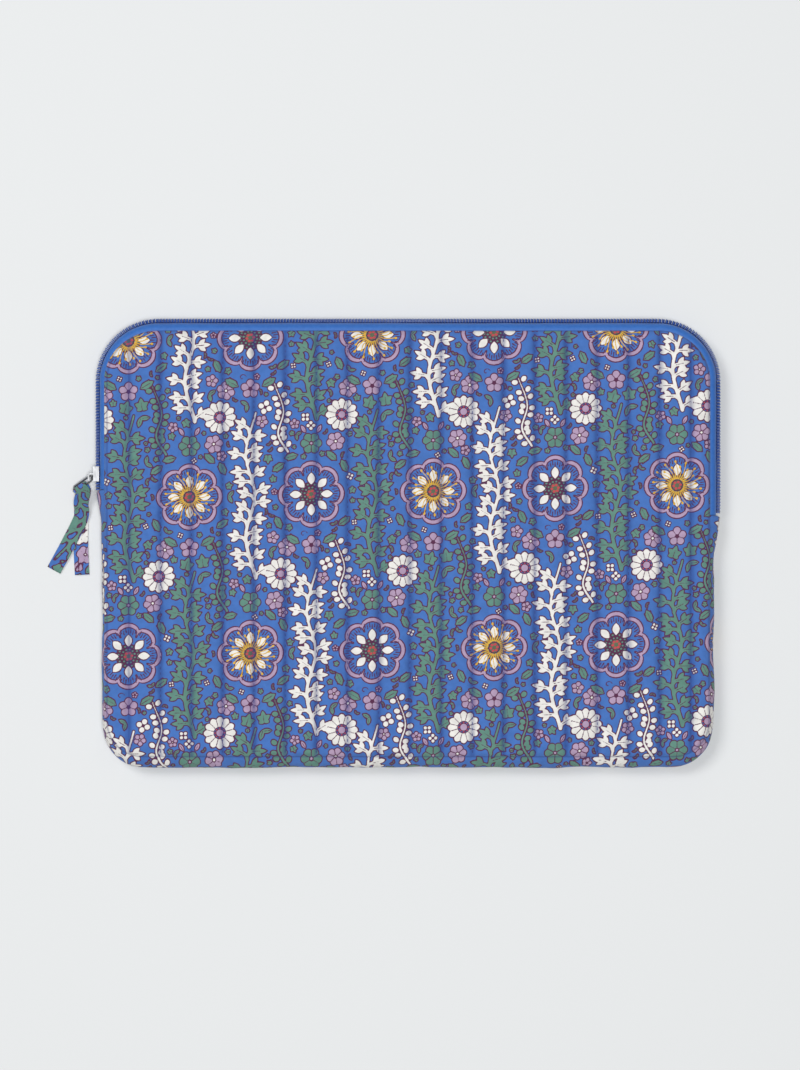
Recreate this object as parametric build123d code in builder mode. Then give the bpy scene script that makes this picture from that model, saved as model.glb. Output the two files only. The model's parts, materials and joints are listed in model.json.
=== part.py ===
from build123d import *
import os

os.makedirs("parts", exist_ok=True)

# Quilted laptop sleeve, in millimetres, lying on its back panel.
# X runs across the sleeve, Y towards its zip edge and Z up from its back face.
# The origin is the middle of the back panel's outer face.

# Padded panels
PANEL_WIDTH = 336.0
PANEL_HEIGHT = 238.0
TOP_RADIUS = 28.0
BOTTOM_RADIUS = 20.0
CLOTH = 0.8
BATTING = 3.2
LINING = 0.5
POCKET_DEPTH = 12.0

# Quilting: straight rows of stitches, sunk into the cloth
ROW_PITCH = 17.42
ROW_COUNT = 19
ROW_SHIFT = 1.1
ROW_END_INSET = 2.0
GROOVE_WIDTH = 0.6
GROOVE_DEPTH = 0.4
THREAD_DEPTH = 0.3

# The front panel folds open along this line, with a small gap at the fold
FOLD_Y = 48.0
FOLD_GAP = 0.3

# Zip: where its two ends are, and its parts measured outwards from the panel edge
ZIP_LEFT_END = 31.3
ZIP_RIGHT_END = 16.2
CHAIN_GAP = 1.1
TAPE_THICKNESS = 0.5
TAPE_OUT = 4.05
TAPE_BEND_RISE = 4.7
TAPE_SEAM_RISE = 7.7
TAPE_SEAM_TOP = 9.3
COIL_IN = TAPE_OUT + TAPE_THICKNESS
COIL_DEPTH = 2.25
COIL_HEIGHT = 2.6

# Gusset: the printed strip that closes the bottom and the lower sides
GUSSET_SEAM_FOOT = 1.2
GUSSET_SEAM_RISE = 3.0
GUSSET_FLAT = 4.0
GUSSET_BOTTOM_BULGE = 6.5
GUSSET_SIDE_BULGE = 2.3
GUSSET_ZIP_BULGE = 6.2
GUSSET_END_FLARE = 0.3
GUSSET_END_GAP = 0.3
GUSSET_LINING_GAP = 0.1
LEFT_KNEE_Y = 12.0
RIGHT_KNEE_Y = -10.0

# Slider
SLIDER_LOW_Y = 34.9
SLIDER_LENGTH = 8.4
SLIDER_HEIGHT = 8.4
PLATE = 1.1
INNER_PLATE_IN = 2.55
OUTER_PLATE_IN = 7.1
LIP_IN = 4.95
LIP = 0.6
WEB_HEIGHT = 0.5
WEB_LENGTH = 3.8
BRIDGE_LENGTH = 4.7
BRIDGE_RISE = 3.3
BRIDGE_BAR = 0.8
BRIDGE_CORNER = 1.7
BRIDGE_WIDTH = 1.0

# Pull tab: a long open ring through the bridge
TAB_LENGTH = 13.4
TAB_HALF_WIDTH = 2.55
TAB_BAR = 0.45
TAB_HEADING = 213.0
TAB_SLOPE = 22.0
TAB_ROLL = 35.0

# Cloth pull: a printed strip folded over one long bar of the tab
STRIP_WIDTH = 8.2
STRIP = 1.1
STRIP_START = 4.2
LOOP_INNER = 0.95
STACK_END = (-184.0, 15.1, 1.4)
UNDER_TAIL_END = (-183.6, -17.5, 0.7)
OVER_TAIL_END = (-199.5, -14.9, 0.8)

PANEL_THICKNESS = CLOTH + BATTING + LINING
THICKNESS = 2 * PANEL_THICKNESS + POCKET_DEPTH
MIDDLE = THICKNESS / 2
SIDE = PANEL_WIDTH / 2
TOP = PANEL_HEIGHT / 2
OUTWARDS_AND_UP = {"x_dir": (-1, 0, 0), "z_dir": (0, 1, 0)}


def save(builder, label):
    """Name a finished piece and write its STEP file."""
    builder.part.label = label
    export_step(builder.part, f"parts/{label}.step")


# ---------------------------------------------------------------- outlines

with BuildSketch() as panel_shape:
    Rectangle(PANEL_WIDTH, PANEL_HEIGHT)
    fillet(panel_shape.vertices().group_by(Axis.Y)[-1], TOP_RADIUS)
    fillet(panel_shape.vertices().group_by(Axis.Y)[0], BOTTOM_RADIUS)

with BuildSketch() as row_area:
    offset(panel_shape.sketch, amount=-ROW_END_INSET)

# the flap is the part of the front panel above the fold, the base the part below it
with BuildSketch() as flap_area:
    with Locations((0, FOLD_Y + FOLD_GAP / 2)):
        Rectangle(PANEL_WIDTH, TOP, align=(Align.CENTER, Align.MIN))

with BuildSketch() as base_area:
    with Locations((0, FOLD_Y - FOLD_GAP / 2)):
        Rectangle(PANEL_WIDTH, PANEL_HEIGHT, align=(Align.CENTER, Align.MAX))

with BuildSketch() as whole_area:
    Rectangle(PANEL_WIDTH, PANEL_HEIGHT)


# ---------------------------------------------------------------- panel layers

def panel_layer(label, area, bottom, thickness, groove_bottom=None):
    """One flat layer of a padded panel, grooved for the quilting where asked."""
    with BuildPart() as layer:
        with BuildSketch(Plane.XY.offset(bottom)):
            add(panel_shape.sketch)
            add(area.sketch, mode=Mode.INTERSECT)
        extrude(amount=thickness)
        if groove_bottom is not None:
            with BuildSketch(Plane.XY.offset(groove_bottom)):
                with Locations((ROW_SHIFT, 0)):
                    with GridLocations(ROW_PITCH, 0, ROW_COUNT, 1):
                        Rectangle(GROOVE_WIDTH, PANEL_HEIGHT)
                add(row_area.sketch, mode=Mode.INTERSECT)
                add(area.sketch, mode=Mode.INTERSECT)
            extrude(amount=GROOVE_DEPTH, mode=Mode.SUBTRACT)
    save(layer, label)


def quilting_rows(label, area, bottom):
    """The sewn rows of one panel, one thread lying in each groove."""
    with BuildPart() as rows:
        with BuildSketch(Plane.XY.offset(bottom)):
            with Locations((ROW_SHIFT, 0)):
                with GridLocations(ROW_PITCH, 0, ROW_COUNT, 1):
                    Rectangle(GROOVE_WIDTH, PANEL_HEIGHT)
            add(row_area.sketch, mode=Mode.INTERSECT)
            add(area.sketch, mode=Mode.INTERSECT)
        extrude(amount=THREAD_DEPTH)
    save(rows, label)


FRONT_LINING_Z = PANEL_THICKNESS + POCKET_DEPTH
FRONT_BATTING_Z = FRONT_LINING_Z + LINING
FRONT_CLOTH_Z = FRONT_BATTING_Z + BATTING
FRONT_GROOVE_Z = THICKNESS - GROOVE_DEPTH

for suffix, area in (("flap", flap_area), ("base", base_area)):
    panel_layer(f"front_cloth_{suffix}", area, FRONT_CLOTH_Z, CLOTH, FRONT_GROOVE_Z)
    panel_layer(f"front_batting_{suffix}", area, FRONT_BATTING_Z, BATTING)
    panel_layer(f"front_lining_{suffix}", area, FRONT_LINING_Z, LINING)
    quilting_rows(f"front_quilting_{suffix}", area, FRONT_GROOVE_Z)

panel_layer("back_cloth", whole_area, 0, CLOTH, 0)
panel_layer("back_batting", whole_area, CLOTH, BATTING)
panel_layer("back_lining", whole_area, CLOTH + BATTING, LINING)
quilting_rows("back_quilting", whole_area, GROOVE_DEPTH - THREAD_DEPTH)


# ---------------------------------------------------------------- zip

def tape_profile(side):
    """Half the zip's tape, as (outwards, up) points; side is 1 for the front, -1 the back."""
    outer = TAPE_OUT + TAPE_THICKNESS
    rises = [
        (outer, CHAIN_GAP / 2),
        (outer, TAPE_BEND_RISE + TAPE_THICKNESS / 2),
        (TAPE_THICKNESS, TAPE_SEAM_RISE + TAPE_THICKNESS / 2),
        (TAPE_THICKNESS, TAPE_SEAM_TOP),
        (0, TAPE_SEAM_TOP),
        (0, TAPE_SEAM_RISE),
        (TAPE_OUT, TAPE_BEND_RISE),
        (TAPE_OUT, CHAIN_GAP / 2),
    ]
    return [(out, MIDDLE + side * rise) for out, rise in rises]


def coil_profile(side):
    """The space one coil of the zip's chain fills, as (outwards, up) points."""
    low = CHAIN_GAP / 2
    high = low + COIL_HEIGHT
    corners = [(COIL_IN, low), (COIL_IN + COIL_DEPTH, low),
               (COIL_IN + COIL_DEPTH, high), (COIL_IN, high)]
    return [(out, MIDDLE + side * rise) for out, rise in corners]


def around_the_top(label, profile, left_y, right_y):
    """Sweep a profile up the left edge, over the top and down the right edge."""
    with BuildPart() as run:
        with BuildLine():
            FilletPolyline(
                (-SIDE, left_y), (-SIDE, TOP), (SIDE, TOP), (SIDE, right_y),
                radius=TOP_RADIUS,
            )
        with BuildSketch(Plane(origin=(-SIDE, left_y, 0), **OUTWARDS_AND_UP)):
            Polygon(*profile, align=None)
        sweep()
    save(run, label)


def up_one_edge(label, profile, low_y, mirror_x):
    """A straight piece of the zip from its end to the fold, on one edge."""
    with BuildPart() as piece:
        with BuildSketch(Plane(origin=(-SIDE, low_y, 0), **OUTWARDS_AND_UP)):
            Polygon(*profile, align=None)
        extrude(amount=FOLD_Y - FOLD_GAP / 2 - low_y)
        if mirror_x:
            mirror(about=Plane.YZ, mode=Mode.REPLACE)
    save(piece, label)


FLAP_Y = FOLD_Y + FOLD_GAP / 2

for name, profile in (("tape", tape_profile), ("coil", coil_profile)):
    around_the_top(f"zip_{name}_flap", profile(1), FLAP_Y, FLAP_Y)
    around_the_top(f"zip_{name}_back", profile(-1), ZIP_LEFT_END, ZIP_RIGHT_END)
    up_one_edge(f"zip_{name}_left_end", profile(1), ZIP_LEFT_END, False)
    up_one_edge(f"zip_{name}_right_end", profile(1), ZIP_RIGHT_END, True)


# ---------------------------------------------------------------- gusset

def gusset_outline(side_bulge, bottom_bulge, zip_bulge, radius, lift):
    """Plan of the sleeve below its zip, grown outwards by the bulges given."""
    left_end = (-SIDE - zip_bulge, ZIP_LEFT_END - GUSSET_END_GAP)
    right_end = (SIDE + zip_bulge, ZIP_RIGHT_END - GUSSET_END_GAP)
    points = [
        left_end,
        (-SIDE - side_bulge, LEFT_KNEE_Y),
        (-SIDE - side_bulge, -TOP - bottom_bulge),
        (SIDE + side_bulge, -TOP - bottom_bulge),
        (SIDE + side_bulge, RIGHT_KNEE_Y),
        right_end,
    ]
    if lift:
        points.insert(0, (left_end[0], left_end[1] + lift))
        points.append((right_end[0], right_end[1] + lift))
    FilletPolyline(*points, radius=radius)
    Line(points[-1], points[0])


def gusset_levels(foot, bend):
    """Heights at which the strip leaves the back seam, bulges and meets the front."""
    flat = GUSSET_FLAT / 2
    heights = [foot, bend, MIDDLE - flat, MIDDLE + flat, THICKNESS - bend, THICKNESS - foot]
    bulged = [False, False, True, True, False, False]
    return list(zip(heights, bulged))


def gusset_strip(label, skin_out, thickness, foot, bend):
    """A strip of cloth bent outwards between the two panels' edges."""
    with BuildPart() as strip:
        for out, lift, mode in ((skin_out, 0, Mode.ADD), (skin_out - thickness, 5, Mode.SUBTRACT)):
            for height, bulged in gusset_levels(foot, bend):
                with BuildSketch(Plane.XY.offset(height)):
                    with BuildLine():
                        if bulged:
                            gusset_outline(
                                GUSSET_SIDE_BULGE + out, GUSSET_BOTTOM_BULGE + out,
                                GUSSET_ZIP_BULGE + out, BOTTOM_RADIUS + out, lift,
                            )
                        else:
                            gusset_outline(
                                out, out, GUSSET_END_FLARE + out, BOTTOM_RADIUS + out, lift,
                            )
                    make_face()
            loft(ruled=True, mode=mode)
    save(strip, label)


gusset_strip("gusset_cloth", CLOTH, CLOTH, GUSSET_SEAM_FOOT, GUSSET_SEAM_RISE)
gusset_strip("gusset_lining", -GUSSET_LINING_GAP, LINING, PANEL_THICKNESS, PANEL_THICKNESS + LINING)


# ---------------------------------------------------------------- slider

def across_edge(out_low, out_high, up_low, up_high):
    """A rectangle in the slider's cross-section, given outwards and up from the middle."""
    with Locations(((out_low + out_high) / 2, MIDDLE + (up_low + up_high) / 2)):
        Rectangle(out_high - out_low, up_high - up_low)


HALF_SLIDER = SLIDER_HEIGHT / 2
OUTER_FACE = OUTER_PLATE_IN + PLATE

with BuildPart() as slider:
    # two plates, with lips on the outer one that hold the coils in
    with BuildSketch(Plane(origin=(-SIDE, SLIDER_LOW_Y, 0), **OUTWARDS_AND_UP)):
        across_edge(INNER_PLATE_IN, INNER_PLATE_IN + PLATE, -HALF_SLIDER, HALF_SLIDER)
        across_edge(OUTER_PLATE_IN, OUTER_FACE, -HALF_SLIDER, HALF_SLIDER)
        across_edge(LIP_IN, OUTER_PLATE_IN, HALF_SLIDER - LIP, HALF_SLIDER)
        across_edge(LIP_IN, OUTER_PLATE_IN, -HALF_SLIDER, LIP - HALF_SLIDER)
    extrude(amount=SLIDER_LENGTH)
    # the web between the two coils joins the plates at the leading end
    web_start = SLIDER_LOW_Y + SLIDER_LENGTH - WEB_LENGTH
    with BuildSketch(Plane(origin=(-SIDE, web_start, 0), **OUTWARDS_AND_UP)):
        across_edge(INNER_PLATE_IN, OUTER_FACE, -WEB_HEIGHT / 2, WEB_HEIGHT / 2)
    extrude(amount=WEB_LENGTH)
    # the bridge that the tab hangs from
    with BuildSketch(Plane.XY.offset(MIDDLE - BRIDGE_WIDTH / 2)) as bridge:
        with Locations((-SIDE - OUTER_FACE, SLIDER_LOW_Y)):
            Rectangle(BRIDGE_RISE, BRIDGE_LENGTH, align=(Align.MAX, Align.MIN))
        fillet(bridge.vertices().group_by(Axis.X)[0], BRIDGE_CORNER)
        with Locations((-SIDE - OUTER_FACE, SLIDER_LOW_Y + BRIDGE_BAR)):
            Rectangle(
                BRIDGE_RISE - BRIDGE_BAR, BRIDGE_LENGTH - 2 * BRIDGE_BAR,
                align=(Align.MAX, Align.MIN), mode=Mode.SUBTRACT,
            )
    extrude(amount=BRIDGE_WIDTH)
save(slider, "slider")


# ---------------------------------------------------------------- pull tab and cloth pull

# The tab turns about its inner end bar, which lies inside the bridge's opening.
TAB_PIVOT = (-SIDE - OUTER_FACE - 1.1, SLIDER_LOW_Y + 2.3, MIDDLE)

# X runs along the tab, Y across it to the bar that carries the cloth pull
tab_frame = Location(TAB_PIVOT) * Rotation(0, 0, TAB_HEADING) * Rotation(0, TAB_SLOPE, 0)
tab_frame = tab_frame * Rotation(90 - TAB_ROLL, 0, 0)
tab_plane = Plane(tab_frame)

with BuildPart() as tab:
    with BuildSketch(tab_plane):
        with Locations((-TAB_BAR, 0)):
            RectangleRounded(
                TAB_LENGTH + 2 * TAB_BAR, 2 * (TAB_HALF_WIDTH + TAB_BAR), 1.4,
                align=(Align.MIN, Align.CENTER),
            )
        with Locations((TAB_BAR, 0)):
            RectangleRounded(
                TAB_LENGTH - 2 * TAB_BAR, 2 * (TAB_HALF_WIDTH - TAB_BAR), 0.8,
                align=(Align.MIN, Align.CENTER), mode=Mode.SUBTRACT,
            )
    extrude(amount=TAB_BAR, both=True)
save(tab, "pull_tab")


def strip_end_plane(origin, across, towards):
    """Plane of a cut through the strip, with X across the strip."""
    return Plane(origin=origin, x_dir=across, z_dir=towards - across * towards.dot(across))


bar = tab_plane.from_local_coords(Vector(STRIP_START, TAB_HALF_WIDTH, 0))
strip_middle = bar + tab_plane.x_dir * STRIP_WIDTH / 2
drop = (Vector(*STACK_END) - strip_middle).normalized()
stack_start = strip_middle + drop * (LOOP_INNER + 0.1)

with BuildPart() as pull:
    # the loop around the bar
    with BuildSketch(Plane(origin=bar, x_dir=tab_plane.y_dir, z_dir=tab_plane.x_dir)):
        Circle(LOOP_INNER + STRIP)
        Circle(LOOP_INNER, mode=Mode.SUBTRACT)
    extrude(amount=STRIP_WIDTH)
    # both layers of the strip, sewn together, down to where they part
    with BuildSketch(strip_end_plane(stack_start, tab_plane.x_dir, drop)):
        Rectangle(STRIP_WIDTH, 2 * STRIP)
    with BuildSketch(strip_end_plane(Vector(*STACK_END), Vector(-1, 0, 0), drop)):
        Rectangle(STRIP_WIDTH, 2 * STRIP)
    loft()
    # the two loose ends
    for end in (UNDER_TAIL_END, OVER_TAIL_END):
        along = Vector(*end) - Vector(*STACK_END)
        sideways = along.cross(Vector(0, 0, 1))
        with BuildSketch(Plane(origin=STACK_END, x_dir=along, z_dir=sideways.cross(along))):
            Rectangle(along.length, STRIP_WIDTH, align=(Align.MIN, Align.CENTER))
        extrude(amount=STRIP / 2, both=True)
save(pull, "cloth_pull")
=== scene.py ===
import json
import math

import bpy
import numpy as np
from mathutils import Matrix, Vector


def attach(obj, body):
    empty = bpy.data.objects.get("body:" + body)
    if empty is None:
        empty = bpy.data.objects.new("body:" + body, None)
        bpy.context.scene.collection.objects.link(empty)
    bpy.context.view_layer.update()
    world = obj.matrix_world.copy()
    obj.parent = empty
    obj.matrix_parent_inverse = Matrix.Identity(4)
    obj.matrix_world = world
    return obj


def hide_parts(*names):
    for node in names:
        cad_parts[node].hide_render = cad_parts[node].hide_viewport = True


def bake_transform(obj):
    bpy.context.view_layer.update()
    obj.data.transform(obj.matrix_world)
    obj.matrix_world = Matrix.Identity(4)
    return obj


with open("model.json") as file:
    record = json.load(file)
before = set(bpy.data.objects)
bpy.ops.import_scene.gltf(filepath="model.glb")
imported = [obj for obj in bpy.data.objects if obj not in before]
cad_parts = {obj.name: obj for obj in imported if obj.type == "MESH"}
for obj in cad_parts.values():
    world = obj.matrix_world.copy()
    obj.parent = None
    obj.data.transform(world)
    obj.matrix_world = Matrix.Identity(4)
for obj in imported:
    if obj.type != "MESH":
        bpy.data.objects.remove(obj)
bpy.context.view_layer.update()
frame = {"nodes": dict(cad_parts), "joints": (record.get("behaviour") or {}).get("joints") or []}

# -------------------- sizes, in metres unless named

MM = 0.001

# Outline of the panels, as in the frame, and where things are on it
SIDE = 168.0 * MM
TOP = 119.0 * MM
TOP_RADIUS = 28.0 * MM
BOTTOM_RADIUS = 20.0 * MM
THICKNESS = 21.0 * MM
MIDDLE = THICKNESS / 2
SKIN_DEPTH = 4.1 * MM
RIM_DROP = 2.4 * MM
LEFT_OVERHANG = 1.7 * MM
RIGHT_OVERHANG = 0.7 * MM
ZIP_LEFT_END = 30.4 * MM
ZIP_RIGHT_END = 16.0 * MM

# Quilting
ROW_PITCH = 17.42 * MM
ROW_SHIFT = 1.1 * MM
ROW_COUNT = 19
PUFF = 2.3 * MM
LINING_PUFF = 1.0 * MM
ROW_DROP = 1.5 * MM
STITCH = 2.3 * MM
STITCH_PITCH = 3.1 * MM
THREAD = 0.22 * MM

# How far the gusset stands out, and where it starts to rise to the zip on each side
GUSSET_SIDE = 3.4 * MM
GUSSET_BOTTOM = 6.5 * MM
GUSSET_ZIP = 6.9 * MM
GUSSET_CLOTH = 20 * MM
LEFT_KNEE = 10 * MM
RIGHT_KNEE = -12 * MM

# Fineness of the cloth meshes
FRONT_CELL = 0.46 * MM
BACK_CELL = 1.0 * MM
LINING_CELL = 1.0 * MM

# Print colours, as sRGB 0 to 255
BLUE = (68, 111, 182)
LILAC = (174, 150, 178)
GREEN = (94, 136, 124)
WHITE = (228, 226, 222)
OLIVE = (92, 104, 84)
OCHRE = (216, 172, 64)
MAROON = (84, 42, 72)
RED = (186, 70, 78)
# Not a print colour: the painted shade that the cloth is mixed towards along the quilting rows
# and seams
PAINTED_SHADE = (36, 52, 118)


def linear(colour, scale=1.0):
    """An sRGB colour of 0 to 255 as a linear RGBA tuple."""
    def channel(value):
        value = value / 255
        return value / 12.92 if value <= 0.04045 else ((value + 0.055) / 1.055) ** 2.4
    return tuple(channel(c) * scale for c in colour) + (1.0,)


# -------------------- camera, light and floor

def make_camera():
    """A long lens straight above the sleeve, with its zip edge up."""
    data = bpy.data.cameras.new("camera")
    data.sensor_width = 36.0
    data.lens = 120.1
    camera = bpy.data.objects.new("camera", data)
    bpy.context.collection.objects.link(camera)
    camera.location = (-0.0045, 0.0049, 2.012)
    bpy.context.scene.camera = camera


def make_light(name, location, size, power):
    """A square area light aimed at the sleeve."""
    data = bpy.data.lights.new(name, "AREA")
    data.size = size
    data.energy = power
    light = bpy.data.objects.new(name, data)
    bpy.context.collection.objects.link(light)
    light.location = location
    light.rotation_euler = (-Vector(location)).to_track_quat("-Z", "Y").to_euler()


def make_floor():
    """The plain pale floor that the sleeve lies on."""
    mesh = bpy.data.meshes.new("floor")
    reach = 3.0
    mesh.from_pydata(
        [(-reach, -reach, 0), (reach, -reach, 0), (reach, reach, 0), (-reach, reach, 0)],
        [], [(0, 1, 2, 3)],
    )
    floor = bpy.data.objects.new("floor", mesh)
    bpy.context.collection.objects.link(floor)
    material = bpy.data.materials.new("floor_paper")
    material.use_nodes = True
    shader = material.node_tree.nodes["Principled BSDF"]
    shader.inputs["Base Color"].default_value = linear((217, 219, 220))
    shader.inputs["Roughness"].default_value = 0.9
    mesh.materials.append(material)


def make_world():
    """Even soft light from all round."""
    world = bpy.data.worlds.new("studio")
    world.use_nodes = True
    background = world.node_tree.nodes["Background"]
    background.inputs["Color"].default_value = (1.0, 1.0, 0.99, 1.0)
    background.inputs["Strength"].default_value = 0.22
    bpy.context.scene.world = world


make_camera()
make_world()
make_floor()
make_light("key", (-1.3, 1.0, 2.9), 1.2, 42)
make_light("top", (0.2, -0.25, 3.6), 0.8, 84)
bpy.context.scene.view_settings.view_transform = "Standard"


# -------------------- shader nodes

class Shader:
    """A material under construction: short names for the nodes that the recipes below use."""

    def __init__(self, name, roughness):
        self.material = bpy.data.materials.new(name)
        self.material.use_nodes = True
        self.nodes = self.material.node_tree.nodes
        self.links = self.material.node_tree.links
        self.surface = self.nodes["Principled BSDF"]
        self.surface.inputs["Roughness"].default_value = roughness

    def feed(self, socket, value):
        """Set a socket from a number, a colour or another node's output."""
        if isinstance(value, bpy.types.NodeSocket):
            self.links.new(value, socket)
        else:
            socket.default_value = value

    def math(self, operation, first, second=0.0):
        node = self.nodes.new("ShaderNodeMath")
        node.operation = operation
        self.feed(node.inputs[0], first)
        self.feed(node.inputs[1], second)
        return node.outputs[0]

    def remap(self, value, low, high, low_to=0.0, high_to=1.0):
        node = self.nodes.new("ShaderNodeMapRange")
        self.feed(node.inputs["Value"], value)
        node.inputs["From Min"].default_value = low
        node.inputs["From Max"].default_value = high
        node.inputs["To Min"].default_value = low_to
        node.inputs["To Max"].default_value = high_to
        return node.outputs["Result"]

    def mix(self, factor, first, second):
        node = self.nodes.new("ShaderNodeMix")
        node.data_type = "RGBA"
        self.feed(node.inputs[0], factor)
        self.feed(node.inputs[6], first)
        self.feed(node.inputs[7], second)
        return node.outputs[2]

    def attribute(self, name):
        node = self.nodes.new("ShaderNodeAttribute")
        node.attribute_name = name
        return node.outputs["Fac"]

    def position(self):
        return self.nodes.new("ShaderNodeTexCoord").outputs["Object"]

    def noise(self, scale, detail=2.0, stretch=None):
        node = self.nodes.new("ShaderNodeTexNoise")
        node.inputs["Scale"].default_value = scale
        node.inputs["Detail"].default_value = detail
        where = self.position()
        if stretch is not None:
            mapping = self.nodes.new("ShaderNodeMapping")
            mapping.inputs["Scale"].default_value = stretch
            self.links.new(where, mapping.inputs["Vector"])
            where = mapping.outputs["Vector"]
        self.links.new(where, node.inputs["Vector"])
        return node.outputs["Fac"]

    def threads(self, pitch, direction):
        """Parallel ribs, one per pitch, across X, Y or Z."""
        node = self.nodes.new("ShaderNodeTexWave")
        node.bands_direction = direction
        node.inputs["Scale"].default_value = math.pi / (10 * pitch)
        node.inputs["Distortion"].default_value = 0.6
        self.links.new(self.position(), node.inputs["Vector"])
        return node.outputs["Fac"]

    def weave(self, pitch):
        """Warp and weft ribs laid over each other."""
        return self.math("MULTIPLY", self.threads(pitch, "X"), self.threads(pitch, "Y"))

    def bump(self, height, depth, strength=1.0):
        node = self.nodes.new("ShaderNodeBump")
        node.inputs["Strength"].default_value = strength
        node.inputs["Distance"].default_value = depth
        self.links.new(height, node.inputs["Height"])
        self.links.new(node.outputs["Normal"], self.surface.inputs["Normal"])

    def colour(self, value):
        self.feed(self.surface.inputs["Base Color"], value)

    def shine(self, **values):
        for name, value in values.items():
            self.surface.inputs[name.replace("_", " ")].default_value = value


# -------------------- the print

# The print is a plain generic floral, drawn in millimetres as distances to the edge of each
# colour's shapes: round blooms in staggered rows, wavy leafy stems between them, and small
# flowers and leaves in what is left. It repeats across and, shifted sideways, down.
REPEAT_ACROSS = 136.0
REPEAT_DOWN = 88.0
REPEAT_SHIFT = REPEAT_ACROSS / 4
BLOOM_RADIUS = 18.5
BLOOM_PETALS = 8

# The grid: its step, the extra cells round it, the distance where nothing is drawn, how far
# round a shape its distances are written, and how near counts as taken
TILE_CELL = 0.25
TILE_MARGIN = 4
FAR = 6.0
SHAPE_ROOM = 1.5
NEAR = 0.2
LAYERS = ("lilac", "seed", "green", "white", "line", "dot", "ochre")


class PrintTile:
    """One repeat of the print, as a grid of distances for each colour."""

    def __init__(self):
        self.columns = int(round(REPEAT_ACROSS / TILE_CELL))
        self.rows = int(round(REPEAT_DOWN / TILE_CELL))
        shape = (self.rows + 2 * TILE_MARGIN, self.columns + 2 * TILE_MARGIN)
        self.fields = {name: np.full(shape, FAR, np.float32) for name in LAYERS}
        self.taken = np.zeros(shape, bool)
        self.x = (np.arange(shape[1]) - TILE_MARGIN) * TILE_CELL
        self.y = (np.arange(shape[0]) - TILE_MARGIN) * TILE_CELL
        self.origin = (0.0, 0.0)

    def windows(self, centre, reach):
        """The parts of the grid near a point and near its copies in the neighbouring repeats."""
        for down in (-1, 0, 1):
            for across in (-1, 0, 1):
                cx = centre[0] + self.origin[0] + across * REPEAT_ACROSS + down * REPEAT_SHIFT
                cy = centre[1] + self.origin[1] - down * REPEAT_DOWN
                i0, i1 = np.searchsorted(self.y, (cy - reach, cy + reach))
                j0, j1 = np.searchsorted(self.x, (cx - reach, cx + reach))
                if i0 < i1 and j0 < j1:
                    yield (slice(i0, i1), slice(j0, j1)), self.x[j0:j1][None, :] - cx, \
                        self.y[i0:i1][:, None] - cy

    def add(self, layer, centre, reach, distance):
        """Lay a shape, given as a distance function about its centre, into one colour."""
        field = self.fields[layer]
        for where, x, y in self.windows(centre, reach + SHAPE_ROOM):
            field[where] = np.minimum(field[where], distance(x, y))

    def clear(self, centre, reach, distance, layers=LAYERS):
        """Take everything out of a shape, leaving the ground."""
        for where, x, y in self.windows(centre, reach + SHAPE_ROOM):
            hole = -distance(x, y)
            for layer in layers:
                field = self.fields[layer]
                field[where] = np.maximum(field[where], hole)

    def is_open(self, centre, radius):
        """Whether nothing is drawn within a circle."""
        for where, x, y in self.windows(centre, radius):
            inside = np.hypot(x, y) < radius
            if any((self.fields[name][where][inside] < NEAR).any() for name in LAYERS):
                return False
            if self.taken[where][inside].any():
                return False
        return True

    def take(self, centre, radius):
        """Keep later filling out of a circle."""
        for where, x, y in self.windows(centre, radius):
            self.taken[where] |= np.hypot(x, y) < radius

    def petal(self, layer, centre, length, width, angle):
        """An ellipse with its long axis at an angle in degrees."""
        c, s = math.cos(math.radians(angle)), math.sin(math.radians(angle))

        def distance(x, y):
            along, across = x * c + y * s, y * c - x * s
            return (np.hypot(along / length, across / width) - 1) * min(length, width)
        self.add(layer, centre, max(length, width), distance)

    def leaf(self, layer, centre, length, width, angle):
        """A leaf pointed at both ends."""
        c, s = math.cos(math.radians(angle)), math.sin(math.radians(angle))

        def distance(x, y):
            along, across = x * c + y * s, np.abs(y * c - x * s)
            edge = across - width * (1 - (along / length) ** 2)
            return np.maximum(edge * 0.8, np.abs(along) - length)
        self.add(layer, centre, length, distance)

    def stroke(self, layer, points, start, end=None):
        """A brush line through points, its half-width going from start to end."""
        end = start if end is None else end
        points = np.asarray(points, float)
        count = len(points) - 1
        for k in range(count):
            a, b = points[k], points[k + 1]
            radius_a = start + (end - start) * k / count
            radius_b = start + (end - start) * (k + 1) / count
            middle, half = (a + b) / 2, (b - a) / 2
            length2 = max(float(half @ half), 1e-9)

            def distance(x, y, half=half, length2=length2, ra=radius_a, rb=radius_b):
                t = np.clip((x * half[0] + y * half[1]) / length2, -1, 1)
                r = (ra + rb) / 2 + (rb - ra) / 2 * t
                return np.hypot(x - half[0] * t, y - half[1] * t) - r
            self.add(layer, middle, math.sqrt(length2) + max(radius_a, radius_b), distance)


def curve(points, per_span=6):
    """A smooth line through points (Catmull-Rom)."""
    points = np.asarray(points, float)
    ends = np.vstack([2 * points[0] - points[1], points, 2 * points[-1] - points[-2]])
    out = []
    for k in range(len(points) - 1):
        p0, p1, p2, p3 = ends[k:k + 4]
        for t in np.linspace(0, 1, per_span, endpoint=False):
            out.append(0.5 * (2 * p1 + (p2 - p0) * t + (2 * p0 - 5 * p1 + 4 * p2 - p3) * t ** 2
                              + (3 * p1 - p0 - 3 * p2 + p3) * t ** 3))
    out.append(points[-1])
    return np.array(out)


def polar(centre, radius, angle):
    """The point at a distance and an angle in degrees from a centre."""
    return (centre[0] + radius * math.cos(math.radians(angle)),
            centre[1] + radius * math.sin(math.radians(angle)))


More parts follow.
